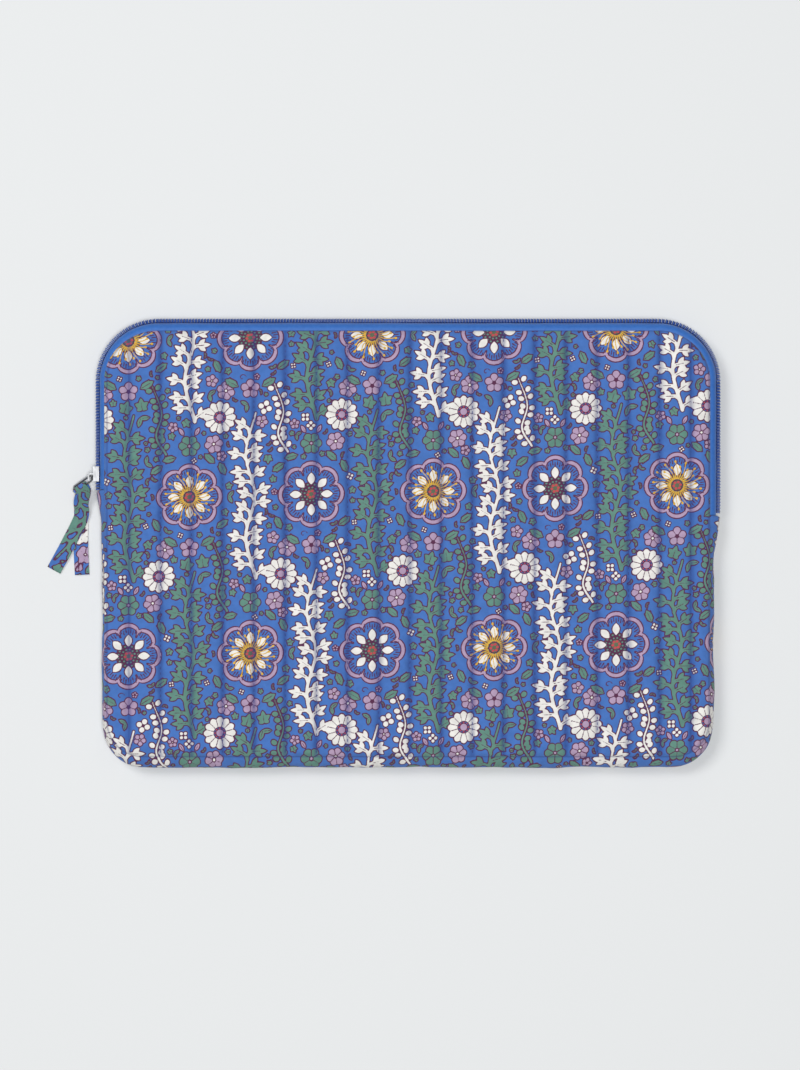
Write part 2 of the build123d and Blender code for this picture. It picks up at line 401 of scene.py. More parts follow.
def blossom(tile, layer, centre, radius, petals, turn=0.0, heart="white"):
    """A round flower of plump petals with lines between them."""
    step = 360 / petals
    for k in range(petals):
        angle = turn + k * step
        tile.petal(layer, polar(centre, radius * 0.6, angle), radius * 0.42, radius * 0.40, angle)
        inner = polar(centre, radius * 0.22, angle + step / 2)
        outer = polar(centre, radius * 0.78, angle + step / 2)
        tile.stroke("line", [inner, outer], 0.16, 0.2)
    tile.petal(heart, centre, radius * 0.17, radius * 0.17, 0)


def daisy(tile, centre, radius, petals, turn, heart_size):
    """A white flower of longer petals round a dark-ringed lilac heart."""
    step = 360 / petals
    for k in range(petals):
        angle = turn + k * step
        width = radius * 3.0 / petals
        tile.petal("white", polar(centre, radius * 0.66, angle), radius * 0.38, width, angle)
        tile.stroke("line", [polar(centre, radius * 0.38, angle + step / 2),
                             polar(centre, radius * 0.82, angle + step / 2)], 0.14, 0.18)
    hole = radius * heart_size
    tile.clear(centre, hole, lambda x, y: np.hypot(x, y) - hole, ("white", "line"))
    tile.petal("lilac", centre, hole * 0.62, hole * 0.62, 0)
    ring = [polar(centre, hole * 0.8, a) for a in range(0, 361, 45)]
    tile.stroke("line", ring, 0.17)


def vein(tile, centre, angle, back, ahead, width):
    """A thin line along a leaf, from behind its centre to ahead of it."""
    tile.stroke("line", [polar(centre, -back, angle), polar(centre, ahead, angle)], width, 0.1)


def lobes(tile, layer, centre, angle, size, width, shape):
    """Leaf points round a centre; shape lists each one's turn, place and length."""
    for turn, reach, length in shape:
        tile.leaf(layer, polar(centre, size * reach, angle + turn), size * length,
                  size * width, angle + turn)


def lobed_tip(tile, layer, base, angle, size):
    """A three-lobed leaf end."""
    lobes(tile, layer, base, angle, size, 0.22,
          ((0, 0.50, 0.62), (40, 0.40, 0.44), (-40, 0.40, 0.44)))
    vein(tile, base, angle, size * 0.2, size * 0.5, 0.13)


def ivy_leaf(tile, layer, centre, angle, size):
    """A broad leaf with five points and a vein."""
    lobes(tile, layer, centre, angle, size, 0.30,
          ((0, 0.38, 0.66), (58, 0.34, 0.54), (-58, 0.34, 0.54),
           (122, 0.26, 0.42), (-122, 0.26, 0.42)))
    vein(tile, centre, angle, size * 0.3, size * 0.5, 0.14)


def toothed_leaf(tile, layer, centre, angle, size):
    """An oval leaf with teeth along both edges."""
    tile.leaf(layer, centre, size, size * 0.46, angle)
    for k in (-0.45, -0.05, 0.35):
        for side in (1, -1):
            at = polar(polar(centre, size * k, angle), size * 0.30, angle + 90 * side)
            tile.leaf(layer, at, size * 0.30, size * 0.12, angle + 40 * side)
    vein(tile, centre, angle, size * 0.8, size * 0.5, 0.15)


def small_leaf(tile, layer, centre, angle, size):
    """A plain leaf with a vein."""
    tile.leaf(layer, centre, size, size * 0.44, angle)
    vein(tile, centre, angle, size * 0.7, size * 0.4, 0.13)


def fern(tile, layer, points, above, below, size):
    """An arching stem with stalked, lobed leaflets, so many above it and so many below."""
    stem = curve(points, 8)
    tile.stroke(layer, stem, size * 0.16, size * 0.09)
    for count, side in ((above, 1), (below, -1)):
        for k in range(count):
            place = (k + 0.55 + 0.25 * side) / (count + 0.6)
            at = int(place * (len(stem) - 2))
            along = math.degrees(math.atan2(*(stem[at + 1] - stem[at])[::-1]))
            lean = along + side * 62
            reach = size * (0.66 if side > 0 else 0.52)
            elbow = polar(stem[at], reach * 0.6, lean - side * 30)
            tip = polar(elbow, reach * 0.5, lean + side * 6)
            stalk = curve([stem[at], elbow, tip], 4)
            tile.stroke(layer, stalk, size * 0.14, size * 0.15)
            lobed_tip(tile, layer, tip, lean + side * 12, size * 0.9)


def berry_stem(tile, layer, points, pairs, size):
    """A curved stem with pairs of round berries."""
    stem = curve(points, 8)
    tile.stroke(layer, stem, size * 0.22, size * 0.12)
    for k in range(pairs):
        at = 1 + int((len(stem) - 2) * (k + 0.7) / pairs)
        along = math.degrees(math.atan2(*(stem[at] - stem[at - 1])[::-1]))
        for side in (1, -1):
            berry = polar(stem[at], size * 0.8, along + 80 * side)
            tile.petal(layer, berry, size * 0.55, size * 0.45, along + 60 * side)


def tendril(tile, start, angle, size):
    """A short curling line."""
    turns = [polar(start, size * (0.15 + 0.85 * t), angle + 260 * (1 - t)) for t in
             np.linspace(0, 1, 9)]
    tile.stroke("line", turns, 0.2, 0.16)


def bloom_edge(x, y):
    """Distance outside the scalloped outline of a bloom."""
    lobes = np.abs(np.cos(BLOOM_PETALS / 2 * np.arctan2(y, x))) ** 0.6
    return (np.hypot(x, y) - BLOOM_RADIUS * (0.84 + 0.16 * lobes)) * 0.8


def bloom_rim(x, y):
    """Distance to a band just inside that outline."""
    return np.abs(bloom_edge(x, y) + 1.0) - 0.9


def seed_head(tile, centre, radius):
    """A disc with rings of seeds."""
    tile.petal("seed", centre, radius, radius, 0)
    for ring, layer in ((1, "dot"), (2, "green"), (3, "green")):
        for k in range(6 * ring):
            spot = polar(centre, radius * 0.28 * ring, k * 60 / ring + 10 * ring)
            tile.petal(layer, spot, 0.8, 0.7, 0)


def stamens(tile, centre):
    """Ochre threads round the seeds, each ending in a knob."""
    for k in range(28):
        angle = k * 360 / 28
        tip = polar(centre, BLOOM_RADIUS * (0.56 + 0.16 * (k % 2)), angle + 4)
        tile.stroke("ochre", curve([polar(centre, BLOOM_RADIUS * 0.2, angle),
                                    polar(centre, BLOOM_RADIUS * 0.4, angle - 4), tip], 4),
                    0.32, 0.24)
        tile.petal("ochre", tip, 0.8, 0.6, angle)


def bloom(tile, centre):
    """The biggest flower: a scalloped rim, dashes, a ring of petals and a seed head."""
    tile.clear(centre, BLOOM_RADIUS + 2, bloom_edge)
    tile.take(centre, BLOOM_RADIUS)
    tile.add("lilac", centre, BLOOM_RADIUS + 2, bloom_rim)
    step = 360 / BLOOM_PETALS
    for k in range(BLOOM_PETALS):
        gap = (k + 0.5) * step
        tile.stroke("lilac", [polar(centre, BLOOM_RADIUS * 0.82, gap),
                              polar(centre, BLOOM_RADIUS * 0.62, gap)], 0.55, 0.25)
        tile.leaf("white", polar(centre, BLOOM_RADIUS * 0.47, k * step), BLOOM_RADIUS * 0.19,
                  BLOOM_RADIUS * 0.12, k * step)
        for dash in range(1, 8):
            angle = (k - 0.5 + dash / 8) * step
            near = BLOOM_RADIUS * (0.66 + 0.05 * (dash % 2))
            tile.stroke("line", [polar(centre, near, angle), polar(centre, near + 2.4, angle)],
                        0.26, 0.16)
    seed_head(tile, centre, BLOOM_RADIUS * 0.36)


def cell(tile, origin, leafy, berries):
    """One bloom and what stands round it; leafy and berries are the stems' colours."""
    tile.origin = origin
    bloom(tile, (0.0, 0.0))
    fern(tile, leafy, [(37, -46), (31.5, -23), (36.5, 0), (31.5, 23), (37, 46)], 11, 11, 7.2)
    daisy(tile, (17, 44), 8.8, 12, 0, 0.38)
    for spot in range(8):
        tile.petal("dot", polar((17, 44), 2.6, spot * 45), 0.42, 0.42, 0)
    for at, radius, turn in (((13.6, 29.2), 5.0, 10), ((20.4, 58.8), 5.0, 40)):
        blossom(tile, "lilac", at, radius, 6, turn)
    berry_stem(tile, berries, [(-13, 24), (-18.5, 34), (-15.5, 47), (-20.5, 62)], 9, 3.4)
    blossom(tile, "green", (0.0, 28.4), 5.8, 6, 0, "lilac")
    blossom(tile, "lilac", (0.0, -28.4), 5.2, 5, 18, "line")
    for angle in (40, 62, 118, 140, 220, 320):
        toothed_leaf(tile, "green", polar((0, 0), 24.0, angle), angle + 75, 4.0)
    for side in (1, -1):
        toothed_leaf(tile, "green", (side * 10.4, -25.0), 90 - side * 60, 4.4)
        small_leaf(tile, "lilac", (side * 4.4, 36.4), 90 - side * 30, 2.6)


def sprig(tile, centre, size, rng):
    """One small filling motif: mostly leaves, some buds and curls."""
    kind, turn = rng.uniform(), rng.uniform(0, 360)
    if kind < 0.50:
        ivy_leaf(tile, "green", centre, turn, size)
    elif kind < 0.74:
        small_leaf(tile, "green", polar(centre, size * 0.4, turn), turn + 35, size * 0.72)
        small_leaf(tile, "green", polar(centre, -size * 0.4, turn), turn - 35, size * 0.72)
    elif kind < 0.83:
        blossom(tile, "lilac", centre, size * 0.95, 5, turn)
    elif kind < 0.94:
        blossom(tile, "white", centre, size * 0.9, 4, turn, "line")
    else:
        tendril(tile, centre, turn, size * 0.8)


def fill_gaps(tile):
    """Put sprigs wherever the ground is still open, the larger ones first."""
    rng = np.random.default_rng(7)
    for size in (5.2, 4.4, 3.6, 2.9, 2.3, 1.8):
        for _ in range(1000):
            centre = (rng.uniform(0, REPEAT_ACROSS), rng.uniform(0, REPEAT_DOWN))
            if tile.is_open(centre, size * 0.92 + 0.2):
                sprig(tile, centre, size, rng)


def make_print():
    """Draw the two cells of the repeat, then fill what is left open."""
    tile = PrintTile()
    first = (REPEAT_ACROSS / 4, REPEAT_DOWN / 2)
    second = (REPEAT_ACROSS * 3 / 4, REPEAT_DOWN / 2)
    cell(tile, first, "white", "green")
    cell(tile, second, "green", "white")
    tile.origin = (0.0, 0.0)
    stamens(tile, first)
    fill_gaps(tile)
    return tile


def sample_print(tile, x, y):
    """Each colour's distance at points in millimetres on the cloth."""
    down = np.floor(y / REPEAT_DOWN)
    column = np.mod(x + down * REPEAT_SHIFT, REPEAT_ACROSS) / TILE_CELL + TILE_MARGIN
    row = (y - down * REPEAT_DOWN) / TILE_CELL + TILE_MARGIN
    j, i = np.floor(column).astype(int), np.floor(row).astype(int)
    fx, fy = (column - j).astype(np.float32), (row - i).astype(np.float32)
    found = {}
    for name, field in tile.fields.items():
        low = field[i, j] * (1 - fx) + field[i, j + 1] * fx
        high = field[i + 1, j] * (1 - fx) + field[i + 1, j + 1] * fx
        found[name] = low * (1 - fy) + high * fy
    return found


PRINT = make_print()


# -------------------- materials

# How far the dark outline reaches outside and inside a printed shape's edge, in millimetres
OUTLINE_OUTSIDE = 0.38
OUTLINE_INSIDE = 0.18


def cloth_finish(shader, pitch, depth):
    """The look of woven cotton: a weave, slubs and a soft nap."""
    slubs = shader.noise(700, 3, (1, 0.35, 1))
    height = shader.math("ADD", shader.weave(pitch), shader.math("MULTIPLY", slubs, 1.6))
    shader.bump(height, depth, 0.7)
    shader.shine(Sheen_Weight=0.12, Sheen_Roughness=0.5, Specular_IOR_Level=0.25)


def paint_crease_shade(shader, colour, amount):
    """The cloth's colour with painted shade mixed in where the quilting pulls it in."""
    shade_weight = shader.math("MULTIPLY", shader.attribute("crease_shade"), amount)
    shader.colour(shader.mix(shade_weight, colour, linear(PAINTED_SHADE)))


def printed_cotton():
    """Block-printed cotton: flat colours with dark outlines, a little uneven."""
    shader = Shader("printed_cotton", 0.86)
    wobble = shader.math("MULTIPLY", shader.math("SUBTRACT", shader.noise(1100, 2), 0.5), 0.36)
    patchy = shader.remap(shader.noise(260, 3), 0.35, 0.65)

    def distance(layer):
        return shader.math("ADD", shader.attribute("print_" + layer), wobble)

    def shades(colour, dark=0.86):
        return shader.mix(patchy, linear(colour, dark), linear(colour))

    def lay(below, layer, edge, colour):
        return shader.mix(shader.remap(distance(layer), edge + 0.08, edge - 0.08), below, colour)

    colour = shades(BLUE, 0.88)
    for layer, ink in (("lilac", LILAC), ("seed", OLIVE), ("green", GREEN), ("white", WHITE)):
        colour = lay(colour, layer, OUTLINE_OUTSIDE, linear(MAROON))
        colour = lay(colour, layer, -OUTLINE_INSIDE, shades(ink))
    colour = lay(colour, "line", 0.09, linear(MAROON))
    colour = lay(colour, "dot", 0.0, linear(RED))
    colour = lay(colour, "ochre", 0.0, shades(OCHRE, 0.8))
    # Painted shade along the quilting rows and seams
    paint_crease_shade(shader, colour, 0.5)
    cloth_finish(shader, 0.42 * MM, 0.05 * MM)
    return shader.material


def plain_cotton(name, colour, pitch):
    """Plain dyed cloth."""
    shader = Shader(name, 0.85)
    cloth = shader.mix(shader.noise(300, 3), linear(colour, 0.82), linear(colour))
    # Painted shade along the quilting rows
    paint_crease_shade(shader, cloth, 0.4)
    cloth_finish(shader, pitch, 0.05 * MM)
    return shader.material


def sewing_thread():
    """Twisted polyester thread."""
    shader = Shader("quilting_thread", 0.55)
    shader.colour(shader.mix(shader.threads(0.5 * MM, "Y"), linear((30, 44, 96)),
                             linear((54, 74, 138))))
    shader.bump(shader.threads(0.5 * MM, "Y"), 0.05 * MM)
    return shader.material


def tape_cloth():
    """The zip's tape: a close, faintly glossy rib along its length."""
    shader = Shader("zip_tape", 0.6)
    ribs = shader.weave(0.5 * MM)
    shader.colour(shader.mix(shader.noise(500, 2), linear((32, 90, 168)),
                             linear((46, 108, 188))))
    shader.bump(shader.math("ADD", ribs, shader.noise(1500, 2)), 0.06 * MM, 0.8)
    shader.shine(Sheen_Weight=0.15, Sheen_Roughness=0.4)
    return shader.material


def coil_nylon():
    """The zip's coil: blue nylon wire, with painted shade where it faces the next loop."""
    shader = Shader("zip_coil", 0.45)
    crest = shader.mix(shader.noise(900, 2), linear((62, 100, 186)), linear((80, 120, 206)))
    # Painted shade: the wire goes dark navy on the sides that face the neighbouring loops
    gap_shade = shader.remap(shader.attribute("gap_shade"), 0.2, 0.65)
    shader.colour(shader.mix(gap_shade, crest, linear((18, 24, 84))))
    shader.bump(shader.noise(2500, 2), 0.02 * MM, 0.5)
    shader.shine(Specular_IOR_Level=0.25)
    return shader.material


def nickel():
    """Plated zip metal with fine scratches."""
    shader = Shader("slider_metal", 0.5)
    shader.colour(shader.mix(shader.noise(400, 2), linear((126, 127, 130)),
                             linear((164, 165, 167))))
    shader.shine(Metallic=1.0)
    shader.feed(shader.surface.inputs["Roughness"],
                shader.remap(shader.noise(1800, 3, (1, 0.15, 1)), 0.3, 0.7, 0.42, 0.56))
    shader.bump(shader.noise(2200, 2, (1, 0.2, 1)), 0.01 * MM, 0.4)
    return shader.material


PRINTED = printed_cotton()
LINED = plain_cotton("lining_cotton", (62, 106, 190), 0.5 * MM)
THREADED = sewing_thread()
TAPED = tape_cloth()
COILED = coil_nylon()
PLATED = nickel()


# -------------------- meshes

def make_piece(name, points, faces, material):
    """A smooth-shaded mesh object from arrays of points and of four-cornered faces."""
    mesh = bpy.data.meshes.new(name)
    mesh.vertices.add(len(points))
    mesh.vertices.foreach_set("co", np.asarray(points, np.float32).ravel())
    mesh.loops.add(faces.size)
    mesh.loops.foreach_set("vertex_index", faces.astype(np.int32).ravel())
    mesh.polygons.add(len(faces))
    mesh.polygons.foreach_set("loop_start", np.arange(0, faces.size, 4, dtype=np.int32))
    mesh.update(calc_edges=True)
    mesh.shade_smooth()
    mesh.materials.append(material)
    piece = bpy.data.objects.new(name, mesh)
    bpy.context.collection.objects.link(piece)
    return piece


def grid_faces(rows, columns, closed=False):
    """Faces of a grid of points held row by row; closed joins the last column to the first."""
    index = np.arange(rows * columns).reshape(rows, columns)
    if closed:
        index = np.hstack([index, index[:, :1]])
    corners = (index[:-1, :-1], index[:-1, 1:], index[1:, 1:], index[1:, :-1])
    return np.stack([c.ravel() for c in corners], axis=1)


def as_points(x, y, z):
    """Three grids of coordinates as one list of points."""
    return np.stack([x.ravel(), y.ravel(), z.ravel()], axis=1)


def make_tube(name, points, material):
    """A closed piece from rings of points, or from several runs of rings, with capped ends.

    points has the shape (runs, rings, sides, 3) or (rings, sides, 3), with an even number of
    sides.
    """
    runs = points.reshape((-1,) + points.shape[-3:])
    count, rings, sides = runs.shape[:3]
    cap = np.array([(k, k + 1, sides - 2 - k, sides - 1 - k) for k in range(sides // 2 - 1)])
    one = np.vstack([grid_faces(rings, sides, closed=True), cap[:, ::-1],
                     cap + (rings - 1) * sides])
    faces = (one[None] + (np.arange(count) * rings * sides)[:, None, None]).reshape(-1, 4)
    flat = runs.reshape(-1, 3)
    a, b, c, d = (flat[faces[:, k]] for k in range(4))
    volume = np.sum(a * np.cross(b, c)) + np.sum(a * np.cross(c, d))
    if volume < 0:  # the faces look inward
        faces = faces[:, ::-1]
    return make_piece(name, flat, faces, material)


def stamp_print(piece, x, y):
    """Give each vertex its distances to the print's shapes, at cloth positions in metres."""
    for layer, distance in sample_print(PRINT, x / MM, y / MM).items():
        stamp_value(piece, "print_" + layer, distance)


def stamp_value(piece, name, value):
    """Store one number for each vertex under a name that a material reads."""
    attribute = piece.data.attributes.new(name, "FLOAT", "POINT")
    attribute.data.foreach_set("value", value.astype(np.float32).ravel())


def on_front_cloth(x, y):
    """The print's own coordinates at places on the front and the cloth that runs on from it."""
    return x + 20 * MM, y + 15 * MM - 0.024 * x


def soft_noise(x, y, size_x, size_y, seed):
    """Smooth random bumps from -1 to 1, of a given size."""
    u, v = x / size_x + 1000, y / size_y + 1000
    i, j = np.floor(u).astype(int), np.floor(v).astype(int)
    fu, fv = u - i, v - j
    fu, fv = fu * fu * (3 - 2 * fu), fv * fv * (3 - 2 * fv)
    table = np.random.default_rng(seed).uniform(-1, 1, (256, 256))

    def at(di, dj):
        return table[(i + di) % 256, (j + dj) % 256]
    return (at(0, 0) * (1 - fu) + at(1, 0) * fu) * (1 - fv) + \
        (at(0, 1) * (1 - fu) + at(1, 1) * fu) * fv


def inset(x, y):
    """How far points lie inside the panels' outline."""
    radius = np.where(y > 0, TOP_RADIUS, BOTTOM_RADIUS)
    out_x = np.abs(x) - (SIDE - radius)
    out_y = np.abs(y) - (TOP - radius)
    beyond = np.hypot(np.maximum(out_x, 0), np.maximum(out_y, 0))
    return radius - beyond - np.minimum(np.maximum(out_x, out_y), 0)


def half_width(y):
    """The outline's half-width at a height up the panel."""
    radius = np.where(y > 0, TOP_RADIUS, BOTTOM_RADIUS)
    into = np.clip(np.abs(y) - (TOP - radius), 0, radius)
    return SIDE - radius + np.sqrt(np.maximum(radius ** 2 - into ** 2, 0))


def panel_points(cell, shrink=0.0):
    """Points over a panel, row by row: even in the straight part, fanned round the corners."""
    low = np.linspace(-90, 0, int(BOTTOM_RADIUS * 1.57 / cell))
    high = np.linspace(0, 90, int(TOP_RADIUS * 1.57 / cell))
    middle = np.linspace(BOTTOM_RADIUS - TOP, TOP - TOP_RADIUS,
                         int((2 * TOP - TOP_RADIUS - BOTTOM_RADIUS) / cell))
    y = np.concatenate([
        BOTTOM_RADIUS - TOP + BOTTOM_RADIUS * np.sin(np.radians(low))[:-1], middle,
        TOP - TOP_RADIUS + TOP_RADIUS * np.sin(np.radians(high))[1:],
    ])
    across = np.linspace(-1, 1, int(2 * SIDE / cell) | 1)
    x = across[None, :] * (half_width(y) - shrink)[:, None]
    y = np.broadcast_to((y * (TOP - shrink) / TOP)[:, None], x.shape)
    return x, y.copy()


# -------------------- padded panels

def nearest_row(x):
    """Distance sideways to the nearest quilting row."""
    row = np.clip(np.round((x - ROW_SHIFT) / ROW_PITCH), -(ROW_COUNT // 2), ROW_COUNT // 2)
    return np.abs(x - ROW_SHIFT - row * ROW_PITCH)


def puff(x):
    """Padding height between quilting rows: 0 on a row, 1 halfway to the next."""
    along = np.clip(nearest_row(x) / (ROW_PITCH / 2), 0, 1)
    return 1 - (1 - along) ** 3.2


def puckers(x, y):
    """Small gathers that the stitches pull into the cloth beside each row."""
    near = np.exp(-nearest_row(x) / (3.6 * MM))
    fine = soft_noise(x, y, 9 * MM, 3.4 * MM, 3) + 0.6 * soft_noise(x, y, 5 * MM, 2.1 * MM, 5)
    return fine * near


def crease_shade(x, y):
    """Painted shade along the stitches, where the cloth is pulled in: 1 on a row, falling to 0
    beside it.
    """
    width = (1.5 + 0.5 * soft_noise(x, y, 7 * MM, 4 * MM, 27)) * MM
    return np.exp(-(nearest_row(x) / width) ** 2)


def seam_shade(distance):
    """Painted shade in a seam's crease: 1 on the seam, falling to 0 within a millimetre."""
    return np.exp(-(distance / (0.45 * MM)) ** 2)


def front_height(x, y):
    """Height of the front cloth's surface."""
    edge = inset(x, y)
    full = 1 - (1 - np.clip(edge / (7 * MM), 0, 1)) ** 2
    roll = (1 - np.clip(edge / (2.6 * MM), 0, 1)) ** 2
    sag = soft_noise(x, y, 62 * MM, 48 * MM, 8) * 0.35 * MM
    lumps = soft_noise(x, y, 21 * MM, 26 * MM, 12) * 0.28 * MM
    padding = PUFF * puff(x) + sag + lumps + 0.26 * MM * puckers(x, y)
    return THICKNESS - ROW_DROP + full * padding - roll * (RIM_DROP - ROW_DROP)


def back_height(x, y):
    """Height of the back cloth's surface, pressed flat on what the sleeve lies on."""
    edge = inset(x, y)
    roll = (1 - np.clip(edge / (4 * MM), 0, 1)) ** 2
    raised = 1.2 * (1 - puff(x)) ** 1.3 + 0.2 + 0.1 * puckers(x, y)
    return np.maximum(raised * MM, 0.05 * MM) + roll * 1.6 * MM


def rimmed_panel(name, x, y, z, rim_z, material):
    """A panel's skin with its edge turned in to a rim, and each vertex's place on the cloth."""
    rows, columns = x.shape
    index = np.arange(rows * columns).reshape(rows, columns)
    edge = np.concatenate([index[0, :-1], index[:-1, -1], index[-1, :0:-1], index[:0:-1, 0]])
    points = as_points(x, y, z)
    ring = points[edge].copy()
    ring[:, :2] *= 1 - 0.5 * MM / SIDE
    ring[:, 2] = rim_z
    first = len(points)
    ring_index = first + np.arange(len(edge))
    wall = np.stack([edge, ring_index, np.roll(ring_index, -1), np.roll(edge, -1)], axis=1)
    faces = np.vstack([grid_faces(rows, columns), wall])
    piece = make_piece(name, np.vstack([points, ring]), faces, material)
    return piece, np.concatenate([x.ravel(), x.ravel()[edge]]), \
        np.concatenate([y.ravel(), y.ravel()[edge]])


def bend_with_flap(piece):
    """Apply the piece's placement to its points; it is not tied to the flap."""
    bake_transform(piece)


def overhang(x, y):
    """How far the padding pushes the front's sides out over the zip."""
    radius = np.where(y > 0, TOP_RADIUS, BOTTOM_RADIUS)
    into = np.clip(np.abs(y) - (TOP - radius), 0, radius) / radius
    near = smooth_step((np.abs(x) - SIDE + 30 * MM) / (30 * MM)) * np.sqrt(1 - into ** 2)
    return near * np.where(x < 0, -LEFT_OVERHANG, RIGHT_OVERHANG)


def make_front_panel():
    """The printed, padded skin of the front."""
    x, y = panel_points(FRONT_CELL)
    piece, cloth_x, cloth_y = rimmed_panel(
        "front_panel", x + overhang(x, y), y, front_height(x, y), THICKNESS - SKIN_DEPTH,
        PRINTED)
    stamp_print(piece, *on_front_cloth(cloth_x, cloth_y))
    # Painted shade along the seam round the panel's edge, joined below to the rows' painted shade
    seam = seam_shade(inset(cloth_x, cloth_y))
    stamp_value(piece, "crease_shade", np.maximum(crease_shade(cloth_x, cloth_y), seam))
    bend_with_flap(piece)
    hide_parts("front_cloth_flap", "front_cloth_base",
                "front_batting_flap", "front_batting_base")


def make_back_panel():
    """The printed, padded skin of the back."""
    x, y = panel_points(BACK_CELL)
    piece, cloth_x, cloth_y = rimmed_panel(
        "back_panel", x, y, back_height(x, y), SKIN_DEPTH, PRINTED)
    piece.data.flip_normals()
    stamp_print(piece, 31 * MM - cloth_x, cloth_y + 47 * MM)
    # Painted shade along the back's quilting rows
    stamp_value(piece, "crease_shade", crease_shade(cloth_x, cloth_y))
    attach(piece, "base")
    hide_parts("back_cloth", "back_batting")


def make_lining(name, x, y, z):
    """A sheet of the plain cloth, with painted shade along the quilting's creases."""
    piece = make_piece(name, as_points(x, y, z), grid_faces(*x.shape), LINED)
    # Painted shade along the lining's quilting rows
    stamp_value(piece, "crease_shade", crease_shade(x, y))
    return piece


def make_linings():
    """The plain cloth inside both panels, dimpled by the quilting."""
    x, y = panel_points(LINING_CELL, 0.8 * MM)
    dimples = LINING_PUFF * puff(x)
    front = make_lining("front_lining", x, y, THICKNESS - SKIN_DEPTH - dimples)
    front.data.flip_normals()
    bend_with_flap(front)
    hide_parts("front_lining_flap", "front_lining_base")
    back = make_lining("back_lining_cloth", x, y, SKIN_DEPTH + dimples)
    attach(back, "base")
    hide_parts("back_lining")


# -------------------- quilting stitches

STITCH_SIDES = 6
STITCH_RINGS = 5
ROW_END_INSET = 2 * MM


def row_end(x, radius):
    """How far from the middle a quilting row ends, towards an edge with such corners."""
    corner = max(abs(x) - (SIDE - radius), 0)
    return TOP - radius + math.sqrt(radius ** 2 - corner ** 2) - ROW_END_INSET


def stitch_rows():
    """The middle of every stitch in every quilting row, as x and y."""
    for row in range(-(ROW_COUNT // 2), ROW_COUNT // 2 + 1):
        x = ROW_SHIFT + row * ROW_PITCH
        low, high = -row_end(x, BOTTOM_RADIUS), row_end(x, TOP_RADIUS)
        for y in np.arange(low + STITCH / 2, high - STITCH / 2, STITCH_PITCH):
            yield x, y


def make_stitches(name, surface, up):
    """Separate stitches that sit in the cloth and dive into it at both ends."""
    rng = np.random.default_rng(21)
    along = np.linspace(-1, 1, STITCH_RINGS)
    around = np.arange(STITCH_SIDES) * math.tau / STITCH_SIDES
    thick = THREAD * np.sqrt(1.02 - along ** 2)
    centres = np.array(list(stitch_rows()))
    count = len(centres)
    lean = rng.normal(0, 0.035, count)
    length = STITCH / 2 * rng.uniform(0.9, 1.08, count)
    offset = along[None, :] * length[:, None]
    x = centres[:, :1] + offset * lean[:, None]
    y = centres[:, 1:] + offset
    z = surface(x, y) + up * (0.16 - 0.34 * along ** 4)[None, :] * MM
    points = np.stack([
        x[..., None] + (thick[:, None] * np.cos(around))[None],
        np.broadcast_to(y[..., None], y.shape + (STITCH_SIDES,)),
        z[..., None] + (thick[:, None] * np.sin(around))[None],
    ], axis=-1)
    return make_tube(name, points, THREADED)


def make_quilting():
    """The stitches of both panels."""
    front = make_stitches("front_stitches", front_height, 1)
    bend_with_flap(front)
    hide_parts("front_quilting_flap", "front_quilting_base")
    back = make_stitches("back_stitches", back_height, -0.4)
    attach(back, "base")
    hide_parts("back_quilting")


# -------------------- strips round the edge

def edge_path(left_y, right_y, over, step):
    """Points round the panels' outline from its left side to its right side.

    The path goes over the top for over = 1 and under the bottom for -1. Each row holds x, y,
    the outward normal and the distance gone.
    """
    radius = TOP_RADIUS if over > 0 else BOTTOM_RADIUS
    left = over * (over * TOP - left_y) - radius
    right = over * (over * TOP - right_y) - radius
    across = 2 * (SIDE - radius)
    quarter = radius * math.pi / 2
    total = left + right + across + 2 * quarter
    s = np.linspace(0, total, int(total / step) + 1)
    first = np.clip((s - left) / radius, 0, math.pi / 2)
    second = np.clip((s - left - quarter - across) / radius, 0, math.pi / 2)
    heading = math.pi - first - second
    normal_x, normal_y = np.cos(heading), over * np.sin(heading)
    x = -(SIDE - radius) + np.clip(s - left - quarter, 0, across) + radius * normal_x
    y = left_y + over * np.clip(s, 0, left) \
        - over * np.clip(s - left - 2 * quarter - across, 0, right) + radius * normal_y
    return np.stack([x, y, normal_x, normal_y, s], axis=1)


def sweep(path, outward, up):
    """Points of a section moved along a path; outward and up may vary along it."""
    outward, up = np.broadcast_arrays(outward, up)
    x = path[:, :1] + outward * path[:, 2:3]
    y = path[:, 1:2] + outward * path[:, 3:4]
    return np.stack([x, y, np.broadcast_to(up, x.shape)], axis=-1)


def smooth_step(value):
    """0 to 1 with no corner at either end."""
    value = np.clip(value, 0, 1)
    return value * value * (3 - 2 * value)


def unit_rows(vectors):
    """Each row scaled to length 1."""
    return vectors / np.linalg.norm(vectors, axis=1)[:, None]


def gusset_bulge(path):
    """How far the gusset stands out at each point of its path."""
    x, y, normal_y = path[:, 0], path[:, 1], path[:, 3]
    under = GUSSET_SIDE + (GUSSET_BOTTOM - GUSSET_SIDE) * np.abs(normal_y) ** 1.5
    left_top = smooth_step((y - LEFT_KNEE) / (ZIP_LEFT_END - LEFT_KNEE)) * (x < 0)
    right_top = smooth_step((y - RIGHT_KNEE) / (ZIP_RIGHT_END - RIGHT_KNEE)) * (x > 0)
    wave = soft_noise(path[:, 4], 0 * x, 24 * MM, 1, 17) * 0.45 * MM
    return under + wave + (GUSSET_ZIP - GUSSET_SIDE) * (left_top + right_top)


